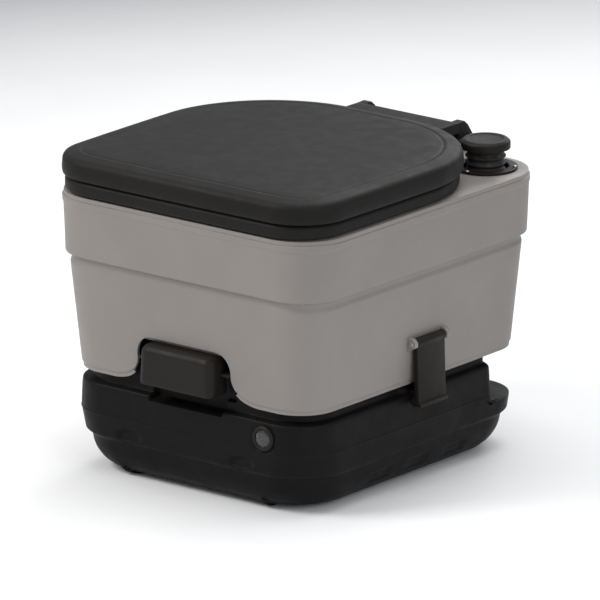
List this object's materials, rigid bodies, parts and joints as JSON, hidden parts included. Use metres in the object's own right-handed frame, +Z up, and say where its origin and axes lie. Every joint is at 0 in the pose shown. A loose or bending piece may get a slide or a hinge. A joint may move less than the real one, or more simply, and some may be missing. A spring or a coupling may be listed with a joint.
{
  "type": "portable toilet",
  "caption": "Portable camping toilet with a removable waste tank and slide valve, flush-water tank, bellows pump, bowl, seat and lid.",
  "frame": {"origin": "on the floor, under the middle of the closed toilet's box", "axes": "+Z up, -Y towards the front with the valve handle, +X to the user's left when seated, which is the right as seen from the front"},
  "size_m": [0.345, 0.4, 0.33],
  "materials": {
    "light_shell": "fine moulded grain",
    "bowl_plastic": "smooth, half gloss",
    "dark_lid": "fine leather-like moulded grain",
    "dark_trim": "fine moulded grain",
    "black_tank": "blow-moulded, slightly uneven",
    "rubber": "dull",
    "steel": "zinc-plated",
    "clear": "clear moulded window",
    "signal_red": "smooth",
    "natural": "unpigmented, milky"
  },
  "bodies": {
    "waste_unit": {"waste_tank": "black_tank", "rubber_feet": "rubber", "valve_frame": "black_tank", "blade_seal": "rubber", "valve_cover": "black_tank", "valve_screws": "steel", "bowl_seal": "rubber", "spout_o_ring": "rubber", "vent_body": "dark_trim", "vent_spring": "steel", "level_bezel": "dark_trim", "level_lens": "clear"},
    "level": {"level_float": "signal_red"},
    "valve": {"valve_blade": "dark_trim", "valve_handle": "dark_trim", "handle_screws": "steel"},
    "spout": {"pour_spout": "black_tank"},
    "spout_closure": {"spout_cap": "dark_trim", "spout_gasket": "rubber"},
    "vent": {"vent_button": "signal_red"},
    "flush_unit": {"upper_casing": "light_shell", "top_deck": "light_shell", "bowl": "bowl_plastic", "tank_floor": "light_shell", "flush_pipe": "natural", "flush_spreader": "bowl_plastic", "pump_housing": "dark_trim", "pump_valve_body": "dark_trim", "suction_pipe": "natural", "pump_screws": "steel", "pump_bellows": "rubber", "filler_neck": "natural", "filler_strainer": "natural", "water_gauge": "clear", "hinge_pins": "steel", "latch_pins": "steel"},
    "pump": {"pump_knob": "dark_trim"},
    "filler": {"filler_cap": "dark_trim", "filler_gasket": "rubber"},
    "seat_unit": {"seat": "dark_lid", "seat_bumpers": "rubber"},
    "lid_unit": {"lid": "dark_lid", "lid_bumpers": "rubber"},
    "left_latch": {"latch_left": "dark_trim"},
    "right_latch": {"latch_right": "dark_trim"}
  },
  "joints": [
    {"name": "upper_lift", "type": "slide", "parent": "waste_unit", "child": "flush_unit", "axis": [0, 0, 1], "range_m": [0, 0.07]},
    {"name": "latch_left_turn", "type": "hinge", "parent": "flush_unit", "child": "left_latch", "pos_m": [-0.1635, 0, 0.15], "axis": [0, 1, 0], "range_deg": [0, 70.2]},
    {"name": "latch_right_turn", "type": "hinge", "parent": "flush_unit", "child": "right_latch", "pos_m": [0.1635, 0, 0.15], "axis": [0, -1, 0], "range_deg": [0, 70.2]},
    {"name": "seat_hinge", "type": "hinge", "parent": "flush_unit", "child": "seat_unit", "pos_m": [0, 0.1935, 0.296], "axis": [-1, 0, 0], "range_deg": [0, 95]},
    {"name": "lid_hinge", "type": "hinge", "parent": "seat_unit", "child": "lid_unit", "pos_m": [0, 0.1935, 0.296], "axis": [-1, 0, 0], "range_deg": [0, 95]},
    {"name": "pump_push", "type": "slide", "parent": "flush_unit", "child": "pump", "axis": [0, 0, -1], "range_m": [0, 0.018], "stiffness_N_per_m": 400, "springref_m": -0.004, "deforming": ["pump_bellows"]},
    {"name": "filler_cap_turn", "type": "hinge", "parent": "flush_unit", "child": "filler", "pos_m": [-0.124, 0.142, 0.3], "axis": [0, 0, 1], "range_deg": [0, 180]},
    {"name": "valve_slide", "type": "slide", "parent": "waste_unit", "child": "valve", "axis": [0, -1, 0], "range_m": [0, 0.12]},
    {"name": "spout_swivel", "type": "hinge", "parent": "waste_unit", "child": "spout", "pos_m": [-0.108, 0.147, 0.081], "axis": [0, 0, 1], "range_deg": [0, 100]},
    {"name": "spout_cap_turn", "type": "hinge", "parent": "spout", "child": "spout_closure", "pos_m": [0.08, 0.147, 0.081], "axis": [1, 0, 0], "range_deg": [0, 270]},
    {"name": "vent_push", "type": "slide", "parent": "waste_unit", "child": "vent", "axis": [0, 0, -1], "range_m": [0, 0.005], "stiffness_N_per_m": 600, "springref_m": -0.002, "deforming": ["vent_spring"]},
    {"name": "level_turn", "type": "hinge", "parent": "waste_unit", "child": "level", "pos_m": [0.1, -0.17, 0.078], "axis": [0, 1, 0], "range_deg": [0, 80]}
  ],
  "couplings": [
    {"joint": "latch_left_turn", "follows": "upper_lift", "rad_per_m": 17.45},
    {"joint": "latch_right_turn", "follows": "upper_lift", "rad_per_m": 17.45}
  ]
}
